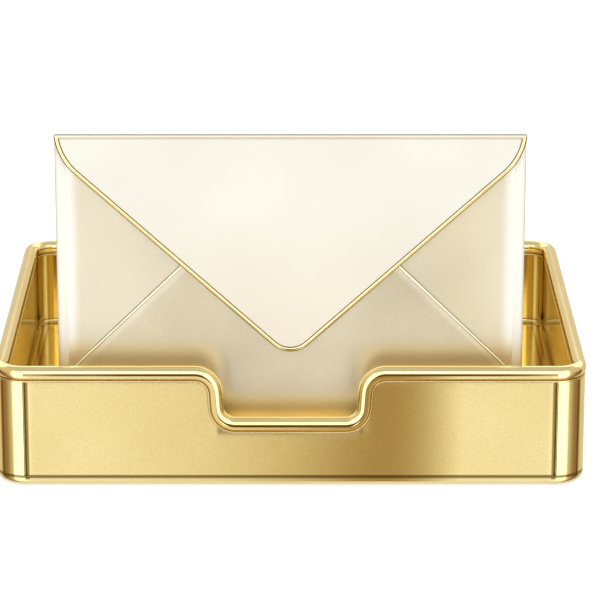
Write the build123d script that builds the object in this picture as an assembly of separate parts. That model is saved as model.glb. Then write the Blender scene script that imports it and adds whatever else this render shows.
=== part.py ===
from build123d import *
import os
from math import cos, radians, tan

os.makedirs("parts", exist_ok=True)

# Millimetres. X to the right, Y to the back, Z up from the surface that the feet stand on.

# Tray, as a whole
tray_width = 290.0
tray_depth = 226.0
rim_top = 61.9  # top of the rim rail
corner_radius = 14.7  # outer corners, seen from above
wall = 6.3  # outer skin, hollow and liner together
skin = 1.6  # sheet of the outer panels
panel_recess = 0.3  # panels lie this far behind the corner posts' faces
joint_gap = 0.8  # upright shadow line between a panel and a post
post_lip = 1.2  # thickness of the posts' lips behind the panels
post_lip_reach = 6.0

# Lower frame and underside
foot_proud = 1.0  # feet reach this far below the base rail
base_rail_height = 4.9
base_rail_round = 3.5
base_rail_top_round = 0.5
ledge_width = 2.5  # rebate in the base rail that the base plate bears on
plate_thickness = 1.2
plate_clearance = 0.3
plate_set_up = 0.4  # underside of the base plate above the rail's underside
foot_radius = 7.0
foot_inset = 26.0  # foot centres from the tray's sides

# Liner
floor_top = 15.8
liner_sheet = 1.6
liner_floor_round = 2.4

# Rim rail and the flat collar beneath it
rail_radius = 3.65
rail_bore_radius = 2.6
rail_flat = 3.0  # the rail's flat underside below its centre line
collar_thickness = 0.8
collar_proud = 0.15
rail_seam = 0.3
joiner_length = 40.0
joiner_clearance = 0.05

# Finger notch in the front wall, along the rail's centre line
notch_half_top = 37.5
notch_drop = 26.3
notch_slant = 4.0  # degrees off upright
notch_top_radius = 10.0
notch_bottom_radius = 9.5

# M3 screws
screw_radius = 1.5
screw_clearance = 0.2
thread_clearance = 0.05
screw_head_radius = 2.75
base_screw_head = 0.9
channel_screw_head = 1.7
socket_width = 1.8
base_screw_length = 8.5
post_radius = 4.0  # threaded posts under the liner
post_bore_depth = 9.5
post_inset_x = 45.0  # outer posts' centres from the tray's sides
post_inset_y = 49.0
nut_flats = 5.5
nut_height = 2.4
nut_shank_past = 0.6

# Channel that holds the envelope upright
channel_length = 170.0
channel_sheet = 1.5
channel_height = 12.0
channel_flange = 9.5
channel_clearance = 0.3
channel_screw_inset = 20.0  # outer screws from the channel's ends

# Envelope, front to back
envelope_width = 229.0
envelope_top = 174.7
envelope_set_back = 18.5  # flap's front face behind the tray's front
flap_sheet = 1.2
flap_clearance = 0.3
pocket_sheet = 1.0
side_flap_sheet = 0.8
pocket_depth = 4.6  # room for what the envelope holds
back_sheet = 1.0
frame_bar = 7.8
frame_round = 2.8
frame_bottom_radius = 3.0
rebate = 2.5
flap_bar_clearance = 0.3

# Outlines on the envelope's front, measured down from its top
flap_shoulder_in = 2.2
flap_shoulder_drop = 11.5
flap_tip_drop = 113.3  # where the two straight edges would meet
flap_shoulder_radius = 29.5
flap_tip_radius = 12.0
flap_corner_radius = 1.5
flap_bead_radius = 1.33
seam_bead_radius = 0.85
pocket_side_drop = 123.8
pocket_apex_drop = 38.7
pocket_apex_half = 24.0
pocket_apex_radius = 8.0
side_flap_apex_drop = 80.0
side_flap_apex_half = 12.0
side_flap_apex_radius = 5.0

# Flap hinge along the top of the back
hinge_barrel_radius = 1.5
hinge_pin_radius = 0.8
hinge_clearance = 0.05
hinge_drop = 4.4  # hinge axis below the envelope's top
hinge_behind = 0.5  # hinge axis behind the back face
end_knuckle = 16.0
middle_knuckle = 16.0
knuckle_gap = 0.4
knuckle_web = 6.0
bridge_sheet = 1.2

# Levels and places that follow from the sizes above
base_bottom = foot_proud
base_top = base_bottom + base_rail_height
plate_bottom = base_bottom + plate_set_up
plate_top = plate_bottom + plate_thickness
liner_bottom = floor_top - liner_sheet
rail_level = rim_top - rail_radius
collar_drop = rail_flat + collar_thickness
wall_top = rail_level - collar_drop
rail_inset = wall / 2
liner_outside = wall - liner_sheet
lip_inset = panel_recess + skin
rail_turn = corner_radius - rail_inset
half_width = tray_width / 2
half_depth = tray_depth / 2

envelope_front = envelope_set_back - half_depth
frame_depth_start = flap_sheet + flap_clearance + seam_bead_radius + pocket_sheet / 2
frame_front = envelope_front + frame_depth_start
pocket_front = frame_front - pocket_sheet
side_flap_back = frame_front + side_flap_sheet
back_front = side_flap_back + pocket_depth
frame_back = back_front + back_sheet
envelope_half = envelope_width / 2
envelope_bottom = floor_top + channel_sheet
hinge_y = frame_back + hinge_behind
hinge_z = envelope_top - hinge_drop
bridge_top = hinge_z + hinge_barrel_radius
bridge_bottom = bridge_top - bridge_sheet
frame_top = bridge_bottom - flap_bar_clearance
bead_line_half = envelope_half - flap_bead_radius
bead_line_top = envelope_top - flap_bead_radius
window_half = envelope_half - frame_bar + rebate
window_bottom = envelope_bottom + frame_bar - rebate
knuckle_end = envelope_half - frame_bar - flap_bar_clearance
hinge_bore = hinge_pin_radius + hinge_clearance
thread_bore = screw_radius + thread_clearance
screw_hole = screw_radius + screw_clearance

channel_front = pocket_front - channel_clearance - channel_sheet
channel_back = frame_back + channel_clearance + channel_sheet
flange_front = channel_front - channel_flange
channel_screw_y = channel_front - channel_flange / 2
channel_screw_reach = channel_length / 2 - channel_screw_inset
channel_screw_places = (-channel_screw_reach, 0, channel_screw_reach)


def block(x0, x1, y0, y1, z0, z1):
    """A box between three pairs of limits."""
    centre = ((x0 + x1) / 2, (y0 + y1) / 2, (z0 + z1) / 2)
    return Pos(*centre) * Box(x1 - x0, y1 - y0, z1 - z0)


def upright(radius, x, y, z0, z1):
    """A round bar along Z."""
    return Pos(x, y, (z0 + z1) / 2) * Cylinder(radius, z1 - z0)


def cross_bar(radius, x0, x1, y, z):
    """A round bar along X."""
    return Pos((x0 + x1) / 2, y, z) * Rot(0, 90, 0) * Cylinder(radius, x1 - x0)


def plan(inset):
    """The tray's outline from above, moved in from the outside."""
    return RectangleRounded(tray_width - 2 * inset, tray_depth - 2 * inset, corner_radius - inset)


def ring(outer_inset, inner_inset, z0, z1):
    """A closed band round the tray between two insets."""
    face = plan(outer_inset) - plan(inner_inset)
    return Pos(0, 0, z0) * extrude(face, z1 - z0)


def notch_corners(inward):
    """The notch's upper and lower corners, moved from the rail's centre line into the wall."""
    lean = tan(radians(notch_slant))
    side = notch_half_top + inward / cos(radians(notch_slant))
    upper = (side - inward * lean, rail_level - inward)
    lower = (side - (notch_drop + inward) * lean, rail_level - notch_drop - inward)
    return upper, lower


def notch_opening(inward):
    """The air above the front wall's top line, moved into the wall, as a cutting body."""
    upper, lower = notch_corners(inward)
    far, high = half_width, rim_top + 2 * rail_radius
    upper_radius, lower_radius = notch_top_radius - inward, notch_bottom_radius + inward
    line = FilletPolyline(
        (-far, upper[1]), (-upper[0], upper[1]), (-lower[0], lower[1]),
        (lower[0], lower[1]), upper, (far, upper[1]),
        radius=[upper_radius, lower_radius, lower_radius, upper_radius],
    )
    lid = Polyline((far, upper[1]), (far, high), (-far, high), (-far, upper[1]))
    face = Plane.XZ * make_face(line.edges() + lid.edges())
    return Pos(0, wall - half_depth + rail_radius, 0) * extrude(face, wall + 3 * rail_radius)


def edges_at(solid, axis, level):
    """Edges that lie wholly at one level along an axis."""
    return solid.edges().filter_by_position(axis, level - 0.01, level + 0.01)


def base_rail():
    """Lower frame: a bar round the tray with a rounded foot and a rebate for the base plate."""
    body = Pos(0, 0, base_bottom) * extrude(plan(0), base_rail_height)
    body = fillet(edges_at(body, Axis.Z, base_bottom), base_rail_round)
    body = fillet(edges_at(body, Axis.Z, base_top), base_rail_top_round)
    body -= Pos(0, 0, base_bottom) * extrude(plan(wall), base_rail_height)
    return body - Pos(0, 0, base_bottom) * extrude(plan(wall - ledge_width), plate_top - base_bottom)


def screw_places():
    """Centres of the threaded posts under the liner."""
    x, y = half_width - post_inset_x, half_depth - post_inset_y
    return [(i * x, j * y) for i in (-1, 0, 1) for j in (-1, 1)]


def base_plate():
    """Sheet that closes the underside."""
    body = Pos(0, 0, plate_bottom) * extrude(plan(wall - ledge_width + plate_clearance), plate_thickness)
    for x, y in screw_places():
        body -= upright(screw_hole, x, y, plate_bottom, plate_top)
    return body


def feet():
    """Four round pads on the base plate."""
    x, y = half_width - foot_inset, half_depth - foot_inset
    return [upright(foot_radius, i * x, j * y, 0, plate_bottom) for i in (-1, 1) for j in (-1, 1)]


def socket(x, y, z0, z1):
    """Hexagon socket of a screw."""
    return Pos(x, y, z0) * extrude(RegularPolygon(socket_width / 2, 6, major_radius=False), z1 - z0)


def base_screws():
    """Screws up through the base plate into the threaded posts."""
    screws = []
    for x, y in screw_places():
        head = upright(screw_head_radius, x, y, plate_bottom - base_screw_head, plate_bottom)
        shank = upright(screw_radius, x, y, plate_bottom, plate_bottom + base_screw_length)
        recess = socket(x, y, plate_bottom - base_screw_head, plate_bottom - base_screw_head / 3)
        screws.append(head + shank - recess)
    return screws


def threaded_posts():
    """Posts between the liner's underside and the base plate."""
    posts = []
    for x, y in screw_places():
        bore = upright(thread_bore, x, y, plate_top, plate_top + post_bore_depth)
        posts.append(upright(post_radius, x, y, plate_top, liner_bottom) - bore)
    return posts


def inner_liner():
    """Deep-drawn liner: floor and inner walls, with the notch."""
    shell = Pos(0, 0, liner_bottom) * extrude(plan(liner_outside), wall_top - liner_bottom)
    shell = fillet(edges_at(shell, Axis.Z, liner_bottom), liner_floor_round + liner_sheet)
    hollow = Pos(0, 0, floor_top) * extrude(plan(wall), rim_top - floor_top)
    hollow = fillet(edges_at(hollow, Axis.Z, floor_top), liner_floor_round)
    body = shell - hollow - notch_opening(collar_drop)
    for x in channel_screw_places:
        body -= upright(screw_hole, x, channel_screw_y, liner_bottom, floor_top)
    return body


def front_panel():
    """Front skin with the finger notch."""
    reach = half_width - corner_radius - joint_gap
    front = panel_recess - half_depth
    body = block(-reach, reach, front, front + skin, base_top, wall_top)
    return body - notch_opening(collar_drop)


def rear_panel():
    """Rear skin."""
    reach = half_width - corner_radius - joint_gap
    back = half_depth - panel_recess
    return block(-reach, reach, back - skin, back, base_top, wall_top)


def side_panel(side):
    """Left (-1) or right (1) skin."""
    reach = half_depth - corner_radius - joint_gap
    face = half_width - panel_recess
    x0, x1 = sorted((side * face, side * (face - skin)))
    return block(x0, x1, -reach, reach, base_top, wall_top)


def corner_post(i, j):
    """Quarter-round post with a lip behind each neighbouring panel."""
    low_x, low_y = half_width - corner_radius, half_depth - corner_radius
    body = ring(0, lip_inset + post_lip, base_top, wall_top)
    lips = ring(lip_inset, lip_inset + post_lip, base_top, wall_top)
    corner = block(low_x, half_width, low_y, half_depth, base_top, wall_top)
    reach = post_lip_reach
    lip_zone = block(low_x - reach, half_width, low_y - reach, half_depth, base_top, wall_top)
    post = (body & corner) + (lips & lip_zone)
    if i < 0:
        post = mirror(post, Plane.YZ)
    if j < 0:
        post = mirror(post, Plane.XZ)
    return post


def rim_collar():
    """Flat band on the wall's top, under the rail."""
    upper = ring(-collar_proud, wall + collar_proud, base_top, rail_level - rail_flat)
    upper -= notch_opening(rail_flat)
    lower = ring(-2 * collar_proud, wall + 2 * collar_proud, base_top, wall_top)
    lower -= notch_opening(collar_drop)
    return upper - lower


def rail_path():
    """The rail's centre line, from one side of the rear seam round to the other."""
    x, y, z = half_width - rail_inset, half_depth - rail_inset, rail_level
    upper, lower = notch_corners(0)
    seam = rail_seam / 2
    points = [
        (seam, y, z), (x, y, z), (x, -y, z),
        (upper[0], -y, upper[1]), (lower[0], -y, lower[1]),
        (-lower[0], -y, lower[1]), (-upper[0], -y, upper[1]),
        (-x, -y, z), (-x, y, z), (-seam, y, z),
    ]
    notch = [notch_top_radius, notch_bottom_radius, notch_bottom_radius, notch_top_radius]
    return FilletPolyline(points, radius=[rail_turn, rail_turn, *notch, rail_turn, rail_turn])


def along(path, radius):
    """A round bar along a path."""
    section = Plane(origin=path @ 0, z_dir=path % 0) * Circle(radius)
    return sweep(section, path)


def rim_rail():
    """Tube along the top of the wall, with a flat underside that sits on the collar."""
    path = rail_path()
    tube = along(path, rail_radius) - along(path, rail_bore_radius)
    bed = ring(-rail_radius, wall + rail_radius, base_top, rail_level - rail_flat)
    return tube - (bed - notch_opening(rail_flat))


def rail_joiner():
    """Pin inside the tube across the rear seam."""
    reach = joiner_length / 2
    radius = rail_bore_radius - joiner_clearance
    return cross_bar(radius, -reach, reach, half_depth - rail_inset, rail_level)


def envelope_channel():
    """Bent channel on the liner's floor, with a flange to the front."""
    reach = channel_length / 2
    base = envelope_bottom
    top = floor_top + channel_height
    body = block(-reach, reach, flange_front, channel_back, floor_top, base)
    body += block(-reach, reach, channel_front, channel_front + channel_sheet, floor_top, top)
    body += block(-reach, reach, channel_back - channel_sheet, channel_back, floor_top, top)
    for x in channel_screw_places:
        body -= upright(screw_hole, x, channel_screw_y, floor_top, base)
    return body


def channel_screws():
    """Screws down through the channel's flange and the liner."""
    screws = []
    bottom = liner_bottom - nut_height - nut_shank_past
    for x in channel_screw_places:
        top = envelope_bottom + channel_screw_head
        head = upright(screw_head_radius, x, channel_screw_y, envelope_bottom, top)
        shank = upright(screw_radius, x, channel_screw_y, bottom, envelope_bottom)
        screws.append(head + shank - socket(x, channel_screw_y, top - channel_screw_head / 2, top))
    return screws


def channel_nuts():
    """Hexagon nuts under the liner."""
    nuts = []
    for x in channel_screw_places:
        hexagon = RegularPolygon(nut_flats / 2, 6, major_radius=False)
        body = Pos(x, channel_screw_y, liner_bottom - nut_height) * extrude(hexagon, nut_height)
        bore = upright(thread_bore, x, channel_screw_y, liner_bottom - nut_height, liner_bottom)
        nuts.append(body - bore)
    return nuts


def standing_sheet(points, radii, y0, y1):
    """A sheet parallel to the front, from an outline in X and Z."""
    line = FilletPolyline([(x, z) for x, z in points], radius=radii, close=True)
    face = Plane.XZ * make_face(line.edges())
    return Pos(0, y1, 0) * extrude(face, y1 - y0)


def envelope_frame():
    """Three-sided frame, open at the top, with rounded outer edges."""
    half, low, high = envelope_half, envelope_bottom, frame_top
    outline = [(-half, low), (half, low), (half, high), (-half, high)]
    radii = [frame_bottom_radius, frame_bottom_radius, 0, 0]
    body = standing_sheet(outline, radii, frame_front, frame_back)
    rims = edges_at(body, Axis.Y, frame_front) + edges_at(body, Axis.Y, frame_back)
    rims = [edge for edge in rims if edge.center().Z < high - 0.01]
    body = fillet(rims, frame_round)
    inner = half - frame_bar
    body -= block(-inner, inner, frame_front, frame_back, low + frame_bar, high)
    window = (-window_half, window_half)
    body -= block(*window, frame_front, side_flap_back, window_bottom, high)
    return body - block(*window, back_front, frame_back, window_bottom, high)


def knuckle_spans():
    """Stretches of the hinge that belong to the back."""
    middle = middle_knuckle / 2
    return [
        (-knuckle_end, end_knuckle - knuckle_end),
        (-middle, middle),
        (knuckle_end - end_knuckle, knuckle_end),
    ]


def flap_barrel_spans():
    """Stretches of the hinge that belong to the flap."""
    spans = knuckle_spans()
    return [(a[1] + knuckle_gap, b[0] - knuckle_gap) for a, b in zip(spans, spans[1:])]


def back_plate():
    """Back of the envelope, with its hinge knuckles rolled at the top."""
    sheet_top = hinge_z - hinge_barrel_radius - 2 * knuckle_gap
    body = block(-window_half, window_half, back_front, frame_back, window_bottom, sheet_top)
    for x0, x1 in knuckle_spans():
        body += block(x0, x1, back_front, frame_back, sheet_top - knuckle_web, hinge_z)
        body += cross_bar(hinge_barrel_radius, x0, x1, hinge_y, hinge_z)
    return body - cross_bar(hinge_bore, -window_half, window_half, hinge_y, hinge_z)


def hinge_pin():
    """Pin through the whole hinge."""
    return cross_bar(hinge_pin_radius, -knuckle_end, knuckle_end, hinge_y, hinge_z)


def side_flap(side):
    """Left (-1) or right (1) flap of the envelope's front."""
    apex = (side * side_flap_apex_half, envelope_top - side_flap_apex_drop)
    edge = side * window_half
    points = [(edge, window_bottom), (edge, frame_top), apex]
    return standing_sheet(points, [0, 0, side_flap_apex_radius], frame_front, side_flap_back)


def pocket_points():
    """Outline of the bottom flap: feet, sides and apex."""
    side = envelope_half - frame_round - flap_clearance
    bottom = envelope_bottom + frame_round + flap_clearance
    shoulder = envelope_top - pocket_side_drop
    apex = envelope_top - pocket_apex_drop
    half = pocket_apex_half
    return [(-side, bottom), (side, bottom), (side, shoulder), (half, apex), (-half, apex), (-side, shoulder)]


def pocket_panel():
    """Bottom flap that lies on the two side flaps."""
    radii = [0, 0, 0, pocket_apex_radius, pocket_apex_radius, 0]
    return standing_sheet(pocket_points(), radii, pocket_front, frame_front)


def seam_bead(side):
    """Bead along the bottom flap's left (-1) or right (1) upper edge."""
    shoulder, apex = pocket_points()[2:4]
    level = pocket_front + pocket_sheet / 2
    rise = Vector(apex[0] - shoulder[0], 0, apex[1] - shoulder[1])
    plain = rise.length - pocket_apex_radius
    start = Plane(origin=(shoulder[0], level, shoulder[1]), z_dir=rise)
    rod = start * Pos(0, 0, plain / 2) * Cylinder(seam_bead_radius, plain)
    reach = envelope_half
    rod -= block(-reach, reach, frame_front, frame_back, 0, envelope_top)
    rod -= pocket_panel()
    return rod if side > 0 else mirror(rod, Plane.YZ)


def flap_line():
    """The flap's outline along its bead's centre line, in X and Z."""
    half, top = bead_line_half, bead_line_top
    shoulder = (half - flap_shoulder_in, top - flap_shoulder_drop)
    tip = (0, envelope_top - flap_tip_drop)
    points = [(-half, top), (half, top), shoulder, tip, (-shoulder[0], shoulder[1])]
    corner, wide = flap_corner_radius, flap_shoulder_radius
    return FilletPolyline(points, radius=[corner, corner, wide, flap_tip_radius, wide], close=True)


def bridge_plan():
    """The bridge's own shape: rounded over the frame's bars, straight at the hinge."""
    half = bead_line_half
    outline = RectangleRounded(2 * half, 2 * (frame_back - envelope_front), frame_round)
    over_bars = Pos(0, envelope_front, bridge_bottom) * extrude(outline, bridge_sheet)
    at_hinge = block(-knuckle_end, knuckle_end, envelope_front, hinge_y, bridge_bottom, bridge_top)
    return over_bars + at_hinge


def flap_panel():
    """Front sheet, the bridge over the envelope's mouth and the hinge barrels, in one."""
    face = Plane.XZ * make_face(flap_line().edges())
    body = Pos(0, envelope_front + flap_sheet, 0) * extrude(face, flap_sheet)
    body += bridge_plan() - block(-envelope_half, envelope_half, 2 * envelope_front, envelope_front, 0, envelope_top)
    room = hinge_barrel_radius + knuckle_gap
    for x0, x1 in knuckle_spans():
        body -= block(x0 - knuckle_gap, x1 + knuckle_gap, hinge_y - room, hinge_y, hinge_z, envelope_top)
    for x0, x1 in flap_barrel_spans():
        body += cross_bar(hinge_barrel_radius, x0, x1, hinge_y, hinge_z)
    return body - cross_bar(hinge_bore, -window_half, window_half, hinge_y, hinge_z)


def flush_with_back(bar):
    """A bar round the flap's edge, cut flush with the flap's back and fitted to its sheet."""
    back = envelope_front + flap_sheet
    reach = envelope_half + flap_bead_radius
    bar -= block(-reach, reach, back, back + flap_bead_radius, 0, envelope_top + flap_bead_radius)
    return bar - flap_panel()


def flap_top_rim():
    """Rounded rim along the flap's top edge, with round ends."""
    y = envelope_front + flap_sheet / 2
    bar = cross_bar(flap_bead_radius, -bead_line_half, bead_line_half, y, bead_line_top)
    for side in (-1, 1):
        bar += Pos(side * bead_line_half, y, bead_line_top) * Sphere(flap_bead_radius)
    return flush_with_back(bar)


def flap_bead():
    """Round bead down both slanted edges of the flap, from rim end to rim end."""
    half, top = bead_line_half, bead_line_top
    shoulder = (half - flap_shoulder_in, top - flap_shoulder_drop)
    tip = (0, envelope_top - flap_tip_drop)
    points = [(half, top), shoulder, tip, (-shoulder[0], shoulder[1]), (-half, top)]
    line = FilletPolyline(points, radius=[flap_shoulder_radius, flap_tip_radius, flap_shoulder_radius])
    path = Pos(0, envelope_front + flap_sheet / 2, 0) * (Plane.XZ * line)
    return flush_with_back(along(path, flap_bead_radius)) - flap_top_rim()


def write(name, shapes):
    """Writes one piece, or a group of like pieces."""
    solids = [solid for shape in shapes for solid in shape.solids()]
    node = solids[0] if len(solids) == 1 else Compound(children=solids)
    node.label = name
    export_step(node, f"parts/{name}.step")


sides = {"left": -1, "right": 1}
ends = {"front": -1, "rear": 1}

write("base_rail", [base_rail()])
write("base_plate", [base_plate()])
write("feet", feet())
write("base_screws", base_screws())
write("threaded_posts", threaded_posts())
write("inner_liner", [inner_liner()])
write("front_panel", [front_panel()])
write("rear_panel", [rear_panel()])
write("rim_collar", [rim_collar()])
write("rim_rail", [rim_rail()])
write("rail_joiner", [rail_joiner()])
write("envelope_channel", [envelope_channel()])
write("channel_screws", channel_screws())
write("channel_nuts", channel_nuts())
write("envelope_frame", [envelope_frame()])
write("back_plate", [back_plate()])
write("hinge_pin", [hinge_pin()])
write("pocket_panel", [pocket_panel()])
write("flap_panel", [flap_panel()])
write("flap_bead", [flap_bead()])
write("flap_top_rim", [flap_top_rim()])

for word, side in sides.items():
    write(f"{word}_panel", [side_panel(side)])
    write(f"side_flap_{word}", [side_flap(side)])
    write(f"seam_bead_{word}", [seam_bead(side)])
    for end_word, end in ends.items():
        write(f"corner_post_{end_word}_{word}", [corner_post(side, end)])
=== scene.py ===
import math

import bmesh
import bpy
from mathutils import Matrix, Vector


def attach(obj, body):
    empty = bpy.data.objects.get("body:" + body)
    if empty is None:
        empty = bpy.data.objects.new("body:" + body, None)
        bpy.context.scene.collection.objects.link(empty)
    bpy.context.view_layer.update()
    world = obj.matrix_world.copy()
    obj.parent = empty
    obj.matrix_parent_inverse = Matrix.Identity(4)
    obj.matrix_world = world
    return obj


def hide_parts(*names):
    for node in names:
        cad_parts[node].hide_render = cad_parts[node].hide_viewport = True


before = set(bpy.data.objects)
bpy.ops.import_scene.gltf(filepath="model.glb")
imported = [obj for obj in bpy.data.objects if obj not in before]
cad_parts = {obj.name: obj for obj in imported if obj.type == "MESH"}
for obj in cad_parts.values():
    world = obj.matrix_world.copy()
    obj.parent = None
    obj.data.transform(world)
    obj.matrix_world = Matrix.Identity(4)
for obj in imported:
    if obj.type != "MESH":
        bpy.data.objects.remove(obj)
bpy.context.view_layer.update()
millimetre = 0.001
print("frame loaded:", len(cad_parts), "nodes")


cameraSetup = {
    "place": (0.0, -1.6735, 0.5803),
    "pitchDown": 17.22,
    "lens": 202.5,
    "shift": 0.016,
}

floorSetup = {
    "halfSize": 6.0,
    "paint": 0.9,
    "glow": 0.5,
    "roughness": 0.9,
}

# Light panels round the object, painted one after the other over the base level. Azimuth 0 is the
# front, 90 the right side and 180 the back. Each panel gives its azimuth, half width, lower and
# upper elevation and the softness of its edges in degrees, and then its level or its own colour.
studioSetup = {
    "baseLevel": 0.76,
    "backgroundLevel": 1.0,
    "warmGreen": 0.36,  # how fast green and blue fall as a panel gets darker
    "warmBlue": 1.15,
    "panels": {
        "floorBounce": (0, 180, -95, -44, 6, 1.0),
        "ceiling": (0, 180, 56, 95, 7, (0.62, 0.65, 0.72)),
        "rearBox": (180, 65, 20, 48, 5, 1.5),
        "frontBox": (0, 52, 11, 43, 4, 2.2),
        "rightFall": (84, 18, -75, 2, 18, 0.32),
        "leftFall": (-84, 18, -75, 2, 18, 0.32),
        "rightEdge": (101, 8, -75, 2, 8, 0.15),
        "leftEdge": (-101, 8, -75, 2, 8, 0.15),
        "rightBox": (28, 22, -52, 38, 5, 1.9),
        "leftBox": (-28, 22, -52, 40, 5, 1.95),
        "frontDark": (0, 7, -50, 2, 2, 0.12),
    },
}

# A lit card that stands close before the front wall. Only reflections see it.
frontCardSetup = {
    "y": -0.1247,
    "halfWidth": 0.1295,
    "low": -0.03,
    "high": 0.0507,
    "notchHalf": 0.036,
    "notchHigh": 0.0233,
    # place across the card in metres, and level
    "stops": [
        (-0.1295, 1.08), (-0.1, 1.0), (-0.04, 0.89), (0.0, 0.68), (0.028, 0.46), (0.047, 0.38),
        (0.063, 0.5), (0.078, 0.84), (0.092, 1.25), (0.105, 1.75), (0.118, 1.5), (0.1295, 1.2),
    ],
}


def makeCamera():
    data = bpy.data.cameras.new("studioCamera")
    data.lens = cameraSetup["lens"]
    data.shift_x = cameraSetup["shift"]
    camera = bpy.data.objects.new("studioCamera", data)
    bpy.context.scene.collection.objects.link(camera)
    camera.location = cameraSetup["place"]
    camera.rotation_euler = (math.radians(90 - cameraSetup["pitchDown"]), 0, 0)
    bpy.context.scene.camera = camera


def tinted(level):
    # The studio's light turns warm where it gets dark.
    shade = min(level, 1.0)
    green = level * shade ** studioSetup["warmGreen"]
    blue = level * shade ** studioSetup["warmBlue"]
    return (level, green, blue, 1)


def mathNode(tree, operation, first, second=None):
    node = tree.nodes.new("ShaderNodeMath")
    node.operation = operation
    for socket, value in zip(node.inputs, (first, second)):
        if isinstance(value, bpy.types.NodeSocket):
            tree.links.new(value, socket)
        elif value is not None:
            socket.default_value = value
    return node.outputs[0]


def mixColours(tree, factor, first, second):
    mix = tree.nodes.new("ShaderNodeMix")
    mix.data_type = "RGBA"
    tree.links.new(factor, mix.inputs["Factor"])
    for socket, value in ((mix.inputs[6], first), (mix.inputs[7], second)):
        if isinstance(value, bpy.types.NodeSocket):
            tree.links.new(value, socket)
        else:
            socket.default_value = (*value[:3], 1)
    return mix.outputs[2]


def smoothStep(tree, value, start, end):
    node = tree.nodes.new("ShaderNodeMapRange")
    node.interpolation_type = "SMOOTHSTEP"
    tree.links.new(value, node.inputs["Value"])
    node.inputs["From Min"].default_value = start
    node.inputs["From Max"].default_value = end
    return node.outputs["Result"]


def panelMask(tree, direction, elevation, angles):
    # How far a direction lies inside one light panel, from 0 to 1.
    turn, half, low, high, soft = [math.radians(angle) for angle in angles]
    dot = tree.nodes.new("ShaderNodeVectorMath")
    dot.operation = "DOT_PRODUCT"
    tree.links.new(direction, dot.inputs[0])
    dot.inputs[1].default_value = (math.sin(turn), -math.cos(turn), 0)
    angle = mathNode(tree, "ARCCOSINE", dot.outputs["Value"])
    across = smoothStep(tree, angle, half + soft, half - soft)
    above = smoothStep(tree, elevation, low - soft, low + soft)
    below = smoothStep(tree, elevation, high + soft, high - soft)
    return mathNode(tree, "MULTIPLY", mathNode(tree, "MULTIPLY", above, below), across)


def makeWorld():
    world = bpy.data.worlds.new("softStudio")
    bpy.context.scene.world = world
    world.use_nodes = True
    tree = world.node_tree
    tree.nodes.clear()
    place = tree.nodes.new("ShaderNodeTexCoord").outputs["Generated"]
    parts = tree.nodes.new("ShaderNodeSeparateXYZ")
    tree.links.new(place, parts.inputs[0])
    elevation = mathNode(tree, "ARCSINE", parts.outputs["Z"])
    sideways = tree.nodes.new("ShaderNodeCombineXYZ")
    tree.links.new(parts.outputs["X"], sideways.inputs["X"])
    tree.links.new(parts.outputs["Y"], sideways.inputs["Y"])
    flat = tree.nodes.new("ShaderNodeVectorMath")
    flat.operation = "NORMALIZE"
    tree.links.new(sideways.outputs[0], flat.inputs[0])
    light = tinted(studioSetup["baseLevel"])
    for *angles, level in studioSetup["panels"].values():
        mask = panelMask(tree, flat.outputs["Vector"], elevation, angles)
        colour = level if isinstance(level, tuple) else tinted(level)
        light = mixColours(tree, mask, light, colour)
    seen = tree.nodes.new("ShaderNodeBackground")
    tree.links.new(light, seen.inputs["Color"])
    plain = tree.nodes.new("ShaderNodeBackground")
    plain.inputs["Color"].default_value = (1, 1, 1, 1)
    plain.inputs["Strength"].default_value = studioSetup["backgroundLevel"]
    rays = tree.nodes.new("ShaderNodeLightPath")
    choose = tree.nodes.new("ShaderNodeMixShader")
    tree.links.new(rays.outputs["Is Camera Ray"], choose.inputs[0])
    tree.links.new(seen.outputs[0], choose.inputs[1])
    tree.links.new(plain.outputs[0], choose.inputs[2])
    output = tree.nodes.new("ShaderNodeOutputWorld")
    tree.links.new(choose.outputs[0], output.inputs["Surface"])


def makeFloor():
    half = floorSetup["halfSize"]
    mesh = bpy.data.meshes.new("studioFloor")
    corners = [(-half, -half, 0), (half, -half, 0), (half, half, 0), (-half, half, 0)]
    mesh.from_pydata(corners, [], [(0, 1, 2, 3)])
    floor = bpy.data.objects.new("studioFloor", mesh)
    bpy.context.scene.collection.objects.link(floor)
    paint = bpy.data.materials.new("floorPaint")
    paint.use_nodes = True
    shader = paint.node_tree.nodes["Principled BSDF"]
    level = floorSetup["paint"]
    shader.inputs["Base Color"].default_value = (level, level, level, 1)
    shader.inputs["Roughness"].default_value = floorSetup["roughness"]
    shader.inputs["Specular IOR Level"].default_value = 0.0
    shader.inputs["Emission Color"].default_value = (1, 1, 1, 1)
    shader.inputs["Emission Strength"].default_value = floorSetup["glow"]
    mesh.materials.append(paint)
    floor.visible_glossy = False


# Warm strip lights in the gap between the front wall and the envelope, in metres.
gapLightSetup = {
    "y": -0.1058,
    "colour": (1.0, 0.79, 0.25),
    "strips": [
        {"x": -0.0775, "width": 0.075, "low": 0.022, "high": 0.052, "radiance": 0.5},
        {"x": 0.0, "width": 0.062, "low": 0.018, "high": 0.0275, "radiance": 0.88},
        {"x": 0.0775, "width": 0.075, "low": 0.022, "high": 0.052, "radiance": 0.5},
    ],
}


def makeGapLights():
    for index, strip in enumerate(gapLightSetup["strips"]):
        data = bpy.data.lights.new(f"gapStrip{index}", "AREA")
        data.shape = "RECTANGLE"
        data.size = strip["width"]
        data.size_y = strip["high"] - strip["low"]
        data.color = gapLightSetup["colour"]
        data.energy = strip["radiance"] * data.size * data.size_y * math.pi
        light = bpy.data.objects.new(f"gapStrip{index}", data)
        bpy.context.scene.collection.objects.link(light)
        light.location = (strip["x"], gapLightSetup["y"], (strip["low"] + strip["high"]) / 2)
        light.rotation_euler = (math.radians(90), 0, 0)
        light.visible_camera = False


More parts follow.
